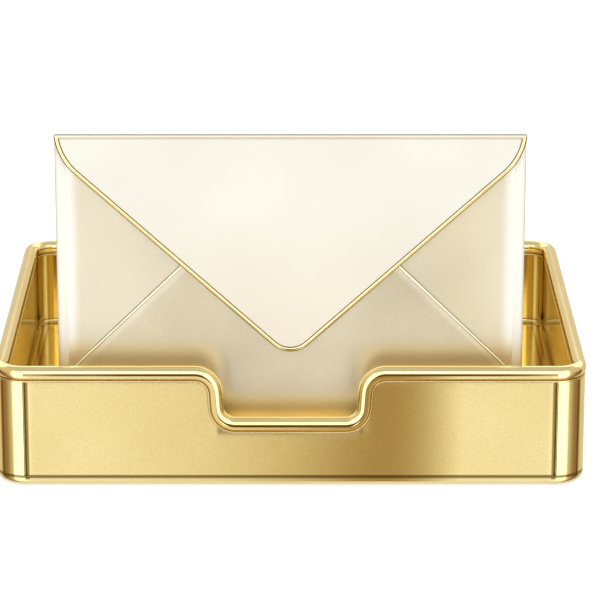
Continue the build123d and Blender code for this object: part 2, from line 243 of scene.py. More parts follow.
def makeFrontCard():
    half, y = frontCardSetup["halfWidth"], frontCardSetup["y"]
    low, high = frontCardSetup["low"], frontCardSetup["high"]
    mesh = bpy.data.meshes.new("frontCard")
    notch, notchHigh = frontCardSetup["notchHalf"], frontCardSetup["notchHigh"]
    outline = [
        (-half, low), (-notch, low), (notch, low), (half, low), (half, high), (notch, high),
        (notch, notchHigh), (-notch, notchHigh), (-notch, high), (-half, high),
    ]
    faces = [(0, 1, 7, 8, 9), (1, 2, 6, 7), (2, 3, 4, 5, 6)]
    mesh.from_pydata([(x, y, z) for x, z in outline], [], faces)
    card = bpy.data.objects.new("frontCard", mesh)
    bpy.context.scene.collection.objects.link(card)
    material = bpy.data.materials.new("cardLight")
    material.use_nodes = True
    tree = material.node_tree
    tree.nodes.clear()
    place = tree.nodes.new("ShaderNodeTexCoord").outputs["Object"]
    parts = tree.nodes.new("ShaderNodeSeparateXYZ")
    tree.links.new(place, parts.inputs[0])
    across = smoothStep(tree, parts.outputs["X"], -half, half)
    across.node.interpolation_type = "LINEAR"
    ramp = tree.nodes.new("ShaderNodeValToRGB")
    tree.links.new(across, ramp.inputs[0])
    marks = ramp.color_ramp
    marks.interpolation = "B_SPLINE"
    stops = frontCardSetup["stops"]
    while len(marks.elements) < len(stops):
        marks.elements.new(0.5)
    for mark, (x, level) in zip(marks.elements, stops):
        mark.position = (x + half) / (2 * half)
        mark.color = tinted(level)
    glow = tree.nodes.new("ShaderNodeEmission")
    tree.links.new(ramp.outputs["Color"], glow.inputs["Color"])
    output = tree.nodes.new("ShaderNodeOutputMaterial")
    tree.links.new(glow.outputs[0], output.inputs["Surface"])
    mesh.materials.append(material)
    for sight in ("visible_camera", "visible_diffuse", "visible_shadow", "visible_transmission"):
        setattr(card, sight, False)


bpy.context.scene.view_settings.view_transform = "Standard"
makeCamera()
makeWorld()
makeFloor()
makeFrontCard()
makeGapLights()
print("studio ready")


def startMaterial(name):
    material = bpy.data.materials.new(name)
    material.use_nodes = True
    tree = material.node_tree
    shader = tree.nodes["Principled BSDF"]
    place = tree.nodes.new("ShaderNodeTexCoord").outputs["Object"]
    return material, tree, shader, place


def noiseNode(tree, place, scale, detail, stretch=None):
    if stretch:
        mapping = tree.nodes.new("ShaderNodeMapping")
        tree.links.new(place, mapping.inputs["Vector"])
        mapping.inputs["Scale"].default_value = stretch
        place = mapping.outputs[0]
    noise = tree.nodes.new("ShaderNodeTexNoise")
    tree.links.new(place, noise.inputs["Vector"])
    noise.inputs["Scale"].default_value = scale
    noise.inputs["Detail"].default_value = detail
    return noise.outputs["Fac"]


noiseRange = (0.3, 0.7)
noiseDetail = {"patch": 3.0, "grain": 1.0, "streaks": 2.0, "rubber": 3.0}


def remap(tree, value, low, high):
    # Spreads a noise, which stays near its middle, over the given range.
    node = tree.nodes.new("ShaderNodeMapRange")
    tree.links.new(value, node.inputs["Value"])
    node.inputs["From Min"].default_value = noiseRange[0]
    node.inputs["From Max"].default_value = noiseRange[1]
    node.inputs["To Min"].default_value = low
    node.inputs["To Max"].default_value = high
    return node.outputs["Result"]


def bumpNode(tree, height, strength, distance):
    bump = tree.nodes.new("ShaderNodeBump")
    tree.links.new(height, bump.inputs["Height"])
    bump.inputs["Strength"].default_value = strength
    bump.inputs["Distance"].default_value = distance
    return bump.outputs["Normal"]


def paintedLightLine(axis, at, reach, colour, strength, core=0.3):
    # A soft line of painted light or painted shade where an axis or a slant has one value. Its core
    # has the full strength.
    return {
        "axis": axis, "at": at, "reach": reach, "colour": colour, "strength": strength, "core": core,
    }


def paintedLightPair(axis, at, *values):
    # The same line on both sides of the middle.
    return [paintedLightLine(axis, side * at, *values) for side in (-1, 1)]


# Painted shade: lines along joints and edges, and shade where parts nearly touch, darken the metal's
# colour. Some of these lines paint highlights and reflections instead.
# Painted shade: a dark line where the panels and posts meet the base rail.
paintedBaseShade = paintedLightLine("Z", 0.0056, 0.0012, (0.24, 0.16, 0.04), 0.9)
# Painted shade: darker at the very bottom of the base rail, next to the floor.
paintedFootShade = paintedLightLine("Z", 0.001, 0.0024, (0.62, 0.5, 0.28), 0.6)
# Painted shade: dark lines along the envelope's outer side edges.
paintedOutlineShade = paintedLightPair("X", 0.1145, 0.0007, (0.4, 0.37, 0.28), 0.85)
# Painted highlight: pale bands along the side flaps' outer edges.
paintedEdgeHighlights = paintedLightPair("X", 0.1095, 0.0075, (0.99, 0.98, 0.93), 0.9, 0.1)
# Painted reflection: a warm gold tint low on the envelope, as from the gold tray around it.
paintedGoldReflection = paintedLightLine("Z", 0.045, 0.028, (0.77, 0.6, 0.29), 0.85)
# Painted shade where the polished gold nears another surface.
goldContactShade = {"reach": 0.0016, "colour": (0.36, 0.25, 0.07), "strength": 0.3}
# Painted shade where the pale lacquer nears another surface.
paleContactShade = {"reach": 0.0014, "colour": (0.24, 0.21, 0.14), "strength": 0.7}

# What a finish has unless it says otherwise. Grain and patch are sizes in metres.
finishDefaults = {
    "metallic": 1.0, "grain": 0.0005, "grainShade": 0.8, "patch": 0.03, "speckle": 0.3,
    "bump": 0.04, "bumpHeight": 0.00001, "coat": 0.0, "paintedLight": [],
}

# Plated metals, and then pale lacquers over metal.
finishSetups = {
    # Painted shade: a dark line at the base joint, darker at the very bottom, and where the gold
    # nears another surface.
    "polishedGold": {
        "light": (0.96, 0.79, 0.4), "dark": (0.92, 0.74, 0.34), "smooth": 0.06, "rough": 0.12,
        "paintedLight": [paintedBaseShade, paintedFootShade], "contactShade": goldContactShade,
    },
    # Painted shade where the collar nears another surface.
    "collarGold": {
        "light": (0.8, 0.67, 0.38), "dark": (0.74, 0.61, 0.33), "smooth": 0.2, "rough": 0.3,
        "contactShade": {"reach": 0.0016, "colour": (0.4, 0.28, 0.09), "strength": 0.35},
    },
    "jointShadow": {
        "light": (0.34, 0.22, 0.06), "dark": (0.28, 0.18, 0.05), "metallic": 0.6,
        "smooth": 0.4, "rough": 0.6, "patch": 0.01, "bump": 0.1,
    },
    # Painted shade: dark lines at the base joint and beside the corner posts, and where the panels
    # near another surface.
    "satinGold": {
        "light": (0.96, 0.79, 0.38), "dark": (0.92, 0.74, 0.33), "smooth": 0.2, "rough": 0.24,
        "patch": 0.04, "speckle": 0.5, "bump": 0.14, "bumpHeight": 0.00002,
        "paintedLight": [
            paintedBaseShade,
            *paintedLightPair("X", 0.1296, 0.0018, (0.3, 0.2, 0.05), 0.9, 0.4),
            *paintedLightPair("Y", 0.0976, 0.0018, (0.3, 0.2, 0.05), 0.9, 0.4),
        ],
        "contactShade": {"reach": 0.0012, "colour": (0.5, 0.36, 0.12), "strength": 0.6},
    },
    # Painted light on the liner: a painted highlight line where its floor meets the walls, painted
    # shade on its walls and where it nears another surface, and painted highlight lines at its
    # rounded corners.
    "linerGold": {
        "light": (0.91, 0.73, 0.26), "dark": (0.83, 0.63, 0.21), "smooth": 0.1, "rough": 0.18,
        "grain": 0.0006, "patch": 0.05, "speckle": 0.7, "bump": 0.14, "bumpHeight": 0.00002,
        "streaks": {
            "width": 0.0035, "stretch": (1, 1, 0.02), "from": 0.48, "to": 0.62,
            "colour": (0.55, 0.37, 0.09), "strength": 0.6,
        },
        "paintedLight": [
            paintedLightLine("Z", 0.0158, 0.0008, (1.0, 0.84, 0.38), 0.6, 0.5),
            paintedLightLine("Y", 0.1067, 0.002, (0.7, 0.5, 0.13), 0.6, 0.7),
            *paintedLightPair("X", 0.1382, 0.0024, (0.5, 0.34, 0.07), 0.7, 0.7),
            *paintedLightPair("X", 0.1333, 0.0009, (0.45, 0.3, 0.06), 0.6),
            *paintedLightPair("X", 0.1349, 0.0009, (1.0, 0.94, 0.62), 0.9),
        ],
        "contactShade": {"reach": 0.006, "colour": (0.5, 0.33, 0.08), "strength": 0.6},
    },
    # Painted shade: dark lines where the bead meets the flap and along its inner side, darker at its
    # tip, and where it nears another surface.
    "beadGold": {
        "light": (0.94, 0.76, 0.43), "dark": (0.88, 0.69, 0.36), "smooth": 0.1, "rough": 0.18,
        "grain": 0.0004, "patch": 0.02, "speckle": 0.2, "bump": 0.03,
        "paintedLight": [
            paintedLightLine("Y", -0.0943, 0.00082, (0.2, 0.155, 0.06), 0.95, 0.7),
            paintedLightLine("Z", 0.06, 0.006, (0.5, 0.36, 0.14), 0.75),
            paintedLightLine((0.6711, 0, -0.7413), -0.0444, 0.0011, (0.36, 0.28, 0.08), 0.85, 0.5),
        ],
        "contactShade": {"reach": 0.001, "colour": (0.12, 0.09, 0.03), "strength": 0.8},
    },
    # Painted shade: a dark line where the seam bead meets the pocket.
    "seamGold": {
        "light": (0.97, 0.91, 0.72), "dark": (0.93, 0.85, 0.64), "metallic": 0.8,
        "smooth": 0.24, "rough": 0.32, "grain": 0.0004, "patch": 0.02, "speckle": 0.2, "bump": 0.03,
        "paintedLight": [paintedLightLine("Y", -0.0924, 0.0006, (0.2, 0.15, 0.06), 0.85, 0.5)],
    },
    "screwSteel": {
        "light": (0.66, 0.65, 0.62), "dark": (0.5, 0.49, 0.46), "smooth": 0.24, "rough": 0.36,
        "grain": 0.0003, "patch": 0.004, "bump": 0.06,
    },
    # Painted shade: the right side flap darker; painted highlight along the flaps' outer edges; a
    # painted gold reflection low down.
    "pearlLacquer": {
        "light": (0.83, 0.77, 0.6), "dark": (0.79, 0.725, 0.56), "metallic": 0.75,
        "smooth": 0.3, "rough": 0.36, "patch": 0.06, "speckle": 0.35, "bump": 0.06,
        "coat": 0.25, "coatRoughness": 0.2,
        "paintedLight": [
            paintedLightLine("X", 0.08, 0.035, (0.75, 0.68, 0.48), 0.85, 0.1),
            *paintedEdgeHighlights,
            paintedGoldReflection,
        ],
    },
    # Painted highlight along the pocket's slanted upper edges, and a painted gold reflection low
    # down.
    "pocketLacquer": {
        "light": (0.81, 0.74, 0.55), "dark": (0.77, 0.695, 0.505), "metallic": 0.8,
        "smooth": 0.28, "rough": 0.34, "patch": 0.06, "speckle": 0.5, "bump": 0.08,
        "coat": 0.25, "coatRoughness": 0.2,
        "paintedLight": [
            paintedLightLine((0.6976, 0, 0.7165), 0.1126, 0.0028, (0.97, 0.91, 0.76), 0.5, 0.05),
            paintedLightLine("Z", 0.029, 0.012, (0.8, 0.68, 0.33), 0.6),
        ],
    },
    # Painted shade along the outer side edges, and a painted gold reflection low down.
    "frameLacquer": {
        "light": (0.79, 0.775, 0.7), "dark": (0.765, 0.745, 0.665), "metallic": 0.1,
        "smooth": 0.4, "rough": 0.5, "patch": 0.06, "speckle": 0.2, "bump": 0.03,
        "coat": 0.2, "coatRoughness": 0.25, "paintedLight": [*paintedOutlineShade, paintedGoldReflection],
    },
    # Painted shade where the flap nears another surface, and darker towards its bottom.
    "flapLacquer": {
        "light": (0.77, 0.765, 0.7), "dark": (0.75, 0.74, 0.67), "metallic": 0.35,
        "smooth": 0.34, "rough": 0.4, "patch": 0.07, "speckle": 0.2, "bump": 0.03,
        "coat": 0.3, "coatRoughness": 0.2, "contactShade": paleContactShade,
        "paintedLight": [paintedLightLine("Z", 0.055, 0.11, (0.74, 0.66, 0.52), 0.6, 0.1)],
    },
    # Painted shade where the rim nears another surface, and dark painted lines along its front, its
    # top and its outer side edges.
    "rimLacquer": {
        "light": (0.8, 0.74, 0.6), "dark": (0.76, 0.7, 0.56), "metallic": 0.5,
        "smooth": 0.2, "rough": 0.28, "patch": 0.07, "speckle": 0.2, "bump": 0.03,
        "coat": 0.3, "coatRoughness": 0.2, "contactShade": paleContactShade,
        "paintedLight": [
            paintedLightLine("Y", -0.0944, 0.0008, (0.42, 0.38, 0.3), 0.7, 0.5),
            paintedLightLine("Z", 0.1747, 0.0006, (0.5, 0.47, 0.4), 0.35),
            *paintedOutlineShade,
        ],
    },
}

# How finely the painted shade near other surfaces is sampled, and where it starts and is full.
contactShadeSetup = {"samples": 12, "openAbove": 0.95, "closedBelow": 0.5}

rubberSetup = {
    "light": (0.06, 0.06, 0.06), "dark": (0.035, 0.035, 0.035),
    "smooth": 0.7, "rough": 0.85, "grain": 0.0007, "bump": 0.2, "bumpHeight": 0.00005,
}


# Mixes one line of painted light or painted shade into a colour.
def addPaintedLight(tree, place, colour, line):
    if isinstance(line["axis"], tuple):
        # Distance to a sloped line that is the same on the left and the right.
        mirrored = tree.nodes.new("ShaderNodeVectorMath")
        mirrored.operation = "ABSOLUTE"
        tree.links.new(place, mirrored.inputs[0])
        across = tree.nodes.new("ShaderNodeVectorMath")
        across.operation = "DOT_PRODUCT"
        tree.links.new(mirrored.outputs[0], across.inputs[0])
        across.inputs[1].default_value = line["axis"]
        level = across.outputs["Value"]
    else:
        parts = tree.nodes.new("ShaderNodeSeparateXYZ")
        tree.links.new(place, parts.inputs[0])
        level = parts.outputs[line["axis"]]
    away = mathNode(tree, "ABSOLUTE", mathNode(tree, "SUBTRACT", level, line["at"]))
    near = smoothStep(tree, away, line["reach"], line["reach"] * line["core"])
    full = mathNode(tree, "MULTIPLY", near, line["strength"])
    return mixColours(tree, full, colour, line["colour"])


# Painted shade: darkens the colour where other surfaces come within reach, by ambient occlusion.
def addContactShade(tree, colour, contactShade):
    closeness = tree.nodes.new("ShaderNodeAmbientOcclusion")
    closeness.samples = contactShadeSetup["samples"]
    closeness.inputs["Distance"].default_value = contactShade["reach"]
    clear, closed = contactShadeSetup["openAbove"], contactShadeSetup["closedBelow"]
    near = smoothStep(tree, closeness.outputs["AO"], clear, closed)
    dark = mathNode(tree, "MULTIPLY", near, contactShade["strength"])
    return mixColours(tree, dark, colour, contactShade["colour"])


def makeFinish(name, setup):
    material, tree, shader, place = startMaterial(name)
    patch = noiseNode(tree, place, 1 / setup["patch"], noiseDetail["patch"])
    grain = noiseNode(tree, place, 1 / setup["grain"], noiseDetail["grain"])
    colour = mixColours(tree, remap(tree, patch, 0, 1), setup["dark"], setup["light"])
    tint = [setup["grainShade"] * part for part in setup["dark"]]
    colour = mixColours(tree, remap(tree, grain, 0, setup["speckle"]), colour, tint)
    if "streaks" in setup:
        streaks = setup["streaks"]
        detail, stretch = noiseDetail["streaks"], streaks["stretch"]
        drawn = noiseNode(tree, place, 1 / streaks["width"], detail, stretch)
        near = smoothStep(tree, drawn, streaks["from"], streaks["to"])
        marks = mathNode(tree, "MULTIPLY", near, streaks["strength"])
        colour = mixColours(tree, marks, colour, streaks["colour"])
    # Painted light and shade lines, then painted shade where parts nearly touch.
    for line in setup["paintedLight"]:
        colour = addPaintedLight(tree, place, colour, line)
    if "contactShade" in setup:
        colour = addContactShade(tree, colour, setup["contactShade"])
    tree.links.new(colour, shader.inputs["Base Color"])
    rough = remap(tree, patch, setup["smooth"], setup["rough"])
    tree.links.new(rough, shader.inputs["Roughness"])
    normal = bumpNode(tree, grain, setup["bump"], setup["bumpHeight"])
    tree.links.new(normal, shader.inputs["Normal"])
    shader.inputs["Metallic"].default_value = setup["metallic"]
    if setup["coat"]:
        shader.inputs["Coat Weight"].default_value = setup["coat"]
        shader.inputs["Coat Roughness"].default_value = setup["coatRoughness"]
    return material


def makeRubber(name, setup):
    material, tree, shader, place = startMaterial(name)
    grain = noiseNode(tree, place, 1 / setup["grain"], noiseDetail["rubber"])
    colour = mixColours(tree, remap(tree, grain, 0, 1), setup["dark"], setup["light"])
    tree.links.new(colour, shader.inputs["Base Color"])
    tree.links.new(remap(tree, grain, setup["smooth"], setup["rough"]), shader.inputs["Roughness"])
    bumped = bumpNode(tree, grain, setup["bump"], setup["bumpHeight"])
    tree.links.new(bumped, shader.inputs["Normal"])
    return material


finishes = {name: makeFinish(name, finishDefaults | setup) for name, setup in finishSetups.items()}
finishes["footRubber"] = makeRubber("footRubber", rubberSetup)
finishOfSlot = {
    "polished_gold": "polishedGold", "satin_gold": "satinGold", "liner_gold": "linerGold",
    "bead_gold": "beadGold", "screw_steel": "screwSteel", "pearl_lacquer": "pearlLacquer",
    "flap_lacquer": "flapLacquer", "foot_rubber": "footRubber",
}
ownFinish = {"envelope_frame": "frameLacquer", "flap_top_rim": "rimLacquer"}
for name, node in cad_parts.items():
    for held in node.material_slots:
        slot = held.material.name.split(".")[0]
        held.material = finishes[ownFinish.get(name, finishOfSlot[slot])]
print("finishes ready:", ", ".join(finishes))


def millimetres(*values):
    return tuple(value * millimetre for value in values)


def roundedCorners(corners, radii, steps=10, closed=True):
    # Rounds each corner of a flat outline with its own radius.
    line = []
    count = len(corners)
    for index, (corner, radius) in enumerate(zip(corners, radii)):
        here = Vector(corner)
        isEnd = not closed and index in (0, count - 1)
        if radius <= 0 or isEnd:
            line.append(here)
            continue
        before = (Vector(corners[index - 1]) - here).normalized()
        after = (Vector(corners[(index + 1) % count]) - here).normalized()
        halfAngle = before.angle(after) / 2
        centre = here + (before + after).normalized() * (radius / math.sin(halfAngle))
        first = here + before * (radius / math.tan(halfAngle)) - centre
        last = here + after * (radius / math.tan(halfAngle)) - centre
        sweep = first.angle(last)
        for step in range(steps + 1):
            part = step / steps
            near, far = math.sin((1 - part) * sweep), math.sin(part * sweep)
            spoke = (first * near + last * far) / math.sin(sweep)
            line.append(centre + spoke)
    return line


def newPiece(name, mesh, finish):
    piece = bpy.data.objects.new(name, mesh)
    mesh.name = name
    bpy.context.scene.collection.objects.link(piece)
    if finish:
        mesh.materials.clear()
        mesh.materials.append(finishes[finish])
    return piece


def smoothFaces(mesh, sharpAngle=35):
    mesh.polygons.foreach_set("use_smooth", [True] * len(mesh.polygons))
    mesh.set_sharp_from_angle(angle=math.radians(sharpAngle))


def evaluatedMesh(piece):
    # The piece with its modifiers carried out, as a plain mesh.
    bpy.context.view_layer.update()
    evaluated = piece.evaluated_get(bpy.context.evaluated_depsgraph_get())
    return bpy.data.meshes.new_from_object(evaluated)


mergeWithin = 1e-7  # metres


def tidyMesh(mesh):
    shape = bmesh.new()
    shape.from_mesh(mesh)
    bmesh.ops.remove_doubles(shape, verts=shape.verts, dist=mergeWithin)
    bmesh.ops.recalc_face_normals(shape, faces=shape.faces)
    shape.to_mesh(mesh)
    shape.free()


def slab(name, outline, axis, start, end, finish, edgeRound=0.0, edgeSteps=2):
    # An outline given in X and Y (axis "z") or in X and Z (axis "y"), made solid along the axis.
    shape = bmesh.new()
    layers = []
    for level in (start, end):
        points = [(u, v, level) if axis == "z" else (u, level, v) for u, v in outline]
        layers.append([shape.verts.new(millimetres(*point)) for point in points])
    shape.faces.new(layers[0])
    shape.faces.new(list(reversed(layers[1])))
    count = len(outline)
    for index in range(count):
        following = (index + 1) % count
        corners = [layers[0][index], layers[0][following], layers[1][following], layers[1][index]]
        shape.faces.new(corners)
    bmesh.ops.recalc_face_normals(shape, faces=shape.faces)
    mesh = bpy.data.meshes.new(name)
    shape.to_mesh(mesh)
    shape.free()
    piece = newPiece(name, mesh, finish)
    smoothFaces(mesh)
    if edgeRound:
        softenEdges(piece, edgeRound, edgeSteps)
    return piece


edgeSetup = {"bevelAbove": 40, "sharpAbove": 80, "flatWeight": 100}


def softenEdges(piece, width, steps):
    # Rounded edges; the flat faces keep their own normals.
    bevel = piece.modifiers.new("softEdges", "BEVEL")
    bevel.width = width * millimetre
    bevel.segments = steps
    bevel.limit_method = "ANGLE"
    bevel.angle_limit = math.radians(edgeSetup["bevelAbove"])
    mesh = evaluatedMesh(piece)
    piece.modifiers.clear()
    smoothFaces(mesh, edgeSetup["sharpAbove"])
    piece.data = mesh
    weigh = piece.modifiers.new("flatFaces", "WEIGHTED_NORMAL")
    weigh.weight = edgeSetup["flatWeight"]
    weigh.keep_sharp = True
    piece.data = evaluatedMesh(piece)
    piece.modifiers.clear()


def place(piece, body, slot, *nodes):
    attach(piece, body)
    if nodes:
        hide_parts(*nodes)
    return piece


def newTree(name, inputs):
    tree = bpy.data.node_groups.new(name, "GeometryNodeTree")
    sockets = tree.interface
    sockets.new_socket("Geometry", in_out="INPUT", socket_type="NodeSocketGeometry")
    for label, kind in inputs.items():
        sockets.new_socket(label, in_out="INPUT", socket_type="NodeSocket" + kind)
    sockets.new_socket("Geometry", in_out="OUTPUT", socket_type="NodeSocketGeometry")
    start = tree.nodes.new("NodeGroupInput")
    end = tree.nodes.new("NodeGroupOutput")
    return tree, start.outputs, end.inputs


def addNode(tree, kind, links=None, **settings):
    node = tree.nodes.new(kind)
    for key, value in settings.items():
        setattr(node, key, value)
    for label, value in (links or {}).items():
        if isinstance(value, bpy.types.NodeSocket):
            tree.links.new(value, node.inputs[label])
        else:
            node.inputs[label].default_value = value
    return node


def endTree(tree, geometry, finish, result):
    real = addNode(tree, "GeometryNodeRealizeInstances", {"Geometry": geometry})
    painted = addNode(tree, "GeometryNodeSetMaterial", {
        "Geometry": real.outputs[0], "Material": finish,
    })
    tree.links.new(painted.outputs[0], result)


def makeSweepTree():
    # A section carried along a path. Each path point's radius is the rounding of that corner.
    inputs = {"Section": "Object", "Arc Steps": "Int", "Finish": "Material"}
    tree, given, result = newTree("sweepAlongPath", inputs)
    corner = addNode(tree, "GeometryNodeInputRadius")
    rounded = addNode(tree, "GeometryNodeFilletCurve", {
        "Curve": given["Geometry"], "Count": given["Arc Steps"], "Radius": corner.outputs[0],
    }, mode="POLY")
    even = addNode(tree, "GeometryNodeSetCurveRadius", {
        "Curve": rounded.outputs[0], "Radius": 1.0,
    })
    section = addNode(tree, "GeometryNodeObjectInfo", {"Object": given["Section"]})
    bar = addNode(tree, "GeometryNodeCurveToMesh", {
        "Curve": even.outputs[0],
        "Profile Curve": section.outputs["Geometry"],
        "Fill Caps": True,
    })
    endTree(tree, bar.outputs[0], given["Finish"], result[0])
    return tree


def makeScatterTree():
    # One part set down at each point, turned by the point's own angle.
    tree, given, result = newTree("partsOnPoints", {"Part": "Object", "Finish": "Material"})
    part = addNode(tree, "GeometryNodeObjectInfo", {"Object": given["Part"]})
    angle = addNode(tree, "GeometryNodeInputNamedAttribute", {"Name": "turn"})
    turn = addNode(tree, "ShaderNodeCombineXYZ", {"Z": angle.outputs[0]})
    points = addNode(tree, "GeometryNodeMeshToPoints", {"Mesh": given["Geometry"]})
    copies = addNode(tree, "GeometryNodeInstanceOnPoints", {
        "Points": points.outputs[0],
        "Instance": part.outputs["Geometry"],
        "Rotation": turn.outputs[0],
    })
    endTree(tree, copies.outputs[0], given["Finish"], result[0])
    return tree


def setInputs(modifier, tree, values):
    for item in tree.interface.items_tree:
        if item.name in values:
            modifier[item.identifier] = values[item.name]


def pathCurve(name, points, radii, closed):
    data = bpy.data.curves.new(name, "CURVE")
    data.dimensions = "3D"
    spline = data.splines.new("POLY")
    spline.points.add(len(points) - 1)
    for target, point, radius in zip(spline.points, points, radii):
        target.co = (*millimetres(*point), 1)
        target.radius = radius * millimetre
    spline.use_cyclic_u = closed
    path = bpy.data.objects.new(name, data)
    bpy.context.scene.collection.objects.link(path)
    return path


def carryOut(name, source, tree, values, helpers):
    # Runs a tree on a source object and keeps the result as a plain mesh.
    modifier = source.modifiers.new(tree.name, "NODES")
    modifier.node_group = tree
    setInputs(modifier, tree, values)
    mesh = evaluatedMesh(source)
    tidyMesh(mesh)
    smoothFaces(mesh)
    for old in [source, *helpers]:
        bpy.data.objects.remove(old)
    return newPiece(name, mesh, None)


def sweepPiece(name, points, radii, closed, section, finish, arcSteps=20):
    path = pathCurve(name + "Path", points, radii, closed)
    around = [(u, v, 0) for u, v in section]
    outline = pathCurve(name + "Section", around, [1] * len(around), True)
    values = {"Section": outline, "Arc Steps": arcSteps, "Finish": finishes[finish]}
    return carryOut(name, path, sweepTree, values, [outline])


def scatterPiece(name, part, points, turns, finish):
    mesh = bpy.data.meshes.new(name + "Points")
    mesh.from_pydata([millimetres(*point) for point in points], [], [])
    mesh.attributes.new("turn", "FLOAT", "POINT").data.foreach_set("value", turns)
    source = bpy.data.objects.new(name + "Points", mesh)
    bpy.context.scene.collection.objects.link(source)
    values = {"Part": part, "Finish": finishes[finish]}
    return carryOut(name, source, scatterTree, values, [part])


sameWithin = 1e-4  # millimetres


def roundSection(radius, flatAt, steps):
    # A circle that is cut flat beyond one distance along v.
    points = []
    for step in range(steps):
        turn = 2 * math.pi * (step + 0.5) / steps
        u, v = radius * math.cos(turn), radius * math.sin(turn)
        if v > flatAt:
            u, v = math.copysign(math.sqrt(radius ** 2 - flatAt ** 2), u), flatAt
        if not points or (Vector((u, v)) - Vector(points[-1])).length > sameWithin:
            points.append((u, v))
    return points


sweepTree = makeSweepTree()
scatterTree = makeScatterTree()
print("node trees ready")


traySetup = {
    "width": 290.0, "depth": 226.0, "wall": 6.3, "cornerRadius": 14.7,
    "baseTop": 5.9, "wallTop": 54.45,
}
halfWidth, halfDepth = traySetup["width"] / 2, traySetup["depth"] / 2

railSetup = {
    "radius": 3.648, "flatBelow": 3.0, "level": 58.25, "seam": 0.3, "arcSteps": 28, "sides": 48,
    "notchHalf": 37.5, "notchDrop": 26.3, "notchSlant": 4.0, "topRadius": 10.0, "lowRadius": 9.5,
}

# Distances below the rail's centre line.
collarSetup = {"top": 3.0, "bottom": 3.8, "proud": 0.15, "round": 0.2, "roundSteps": 3}

panelSetup = {"recess": 0.3, "sheet": 1.6, "jointGap": 0.8, "edgeRound": 0.25, "notchSteps": 16}

postSetup = {
    "lip": 1.2, "lipReach": 6.0, "arcSteps": 32, "edgeRound": 0.12,
    "lipTolerance": 0.05, "uprightBelow": 0.5,  # which faces count as a lip's
}

baseRailSetup = {
    "bottom": 1.0, "footRound": 3.5, "topRound": 0.5, "ledge": 2.5, "ledgeTop": 2.6,
    "innerRound": 0.3, "roundSteps": 8, "arcSteps": 32,
}


def notchCorners(inward):
    lean = math.radians(railSetup["notchSlant"])
    drop = railSetup["notchDrop"]
    side = railSetup["notchHalf"] + inward / math.cos(lean)
    upper = (side - inward * math.tan(lean), railSetup["level"] - inward)
    lower = (side - (drop + inward) * math.tan(lean), railSetup["level"] - drop - inward)
    return upper, lower


def wallTopPath(seam):
    # Corners of the wall's top line, from the middle of the back round by the right side.
    inset = traySetup["wall"] / 2
    x, y, z = halfWidth - inset, halfDepth - inset, railSetup["level"]
    turn = traySetup["cornerRadius"] - inset
    upper, lower = notchCorners(0)
    points = [
        (x, y, z), (x, -y, z), (upper[0], -y, upper[1]), (lower[0], -y, lower[1]),
        (-lower[0], -y, lower[1]), (-upper[0], -y, upper[1]), (-x, -y, z), (-x, y, z),
    ]
    high, low = railSetup["topRadius"], railSetup["lowRadius"]
    radii = [turn, turn, high, low, low, high, turn, turn]
    half = seam / 2
    return [(half, y, z), *points, (-half, y, z)], [0, *radii, 0]


def makeRimRail():
    points, radii = wallTopPath(railSetup["seam"])
    section = roundSection(railSetup["radius"], railSetup["flatBelow"], railSetup["sides"])
    steps = railSetup["arcSteps"]
    rail = sweepPiece("rimRail", points, radii, False, section, "polishedGold", steps)
    place(rail, "tray", "polished_gold", "rim_rail")


def makeRimCollar():
    points, radii = wallTopPath(0)
    half = traySetup["wall"] / 2 + collarSetup["proud"]
    top, bottom = collarSetup["top"], collarSetup["bottom"]
    corners = [(-half, top), (half, top), (half, bottom), (-half, bottom)]
    section = roundedCorners(corners, [collarSetup["round"]] * 4, collarSetup["roundSteps"])
    collar = sweepPiece("rimCollar", points[1:-1], radii[1:-1], True, section, "collarGold")
    place(collar, "tray", "polished_gold", "rim_collar")


def makeBaseRail():
    setup = baseRailSetup
    bottom, top, wall = setup["bottom"], traySetup["baseTop"], traySetup["wall"]
    # Across: inward from the tray's outside. Down: from the rail's top.
    ledge, ledgeTop = wall - setup["ledge"], setup["ledgeTop"]
    corners = [
        (0, top), (wall, top), (wall, ledgeTop), (ledge, ledgeTop), (ledge, bottom), (0, bottom),
    ]
    radii = [setup["topRound"], setup["innerRound"], 0, 0, setup["innerRound"], setup["footRound"]]
    section = [(u, top - v) for u, v in roundedCorners(corners, radii, setup["roundSteps"])]
    points = [
        (-halfWidth, halfDepth, top), (halfWidth, halfDepth, top),
        (halfWidth, -halfDepth, top), (-halfWidth, -halfDepth, top),
    ]
    corner = [traySetup["cornerRadius"]] * 4
    rail = sweepPiece("baseRail", points, corner, True, section, "polishedGold", setup["arcSteps"])
    place(rail, "tray", "polished_gold", "base_rail")


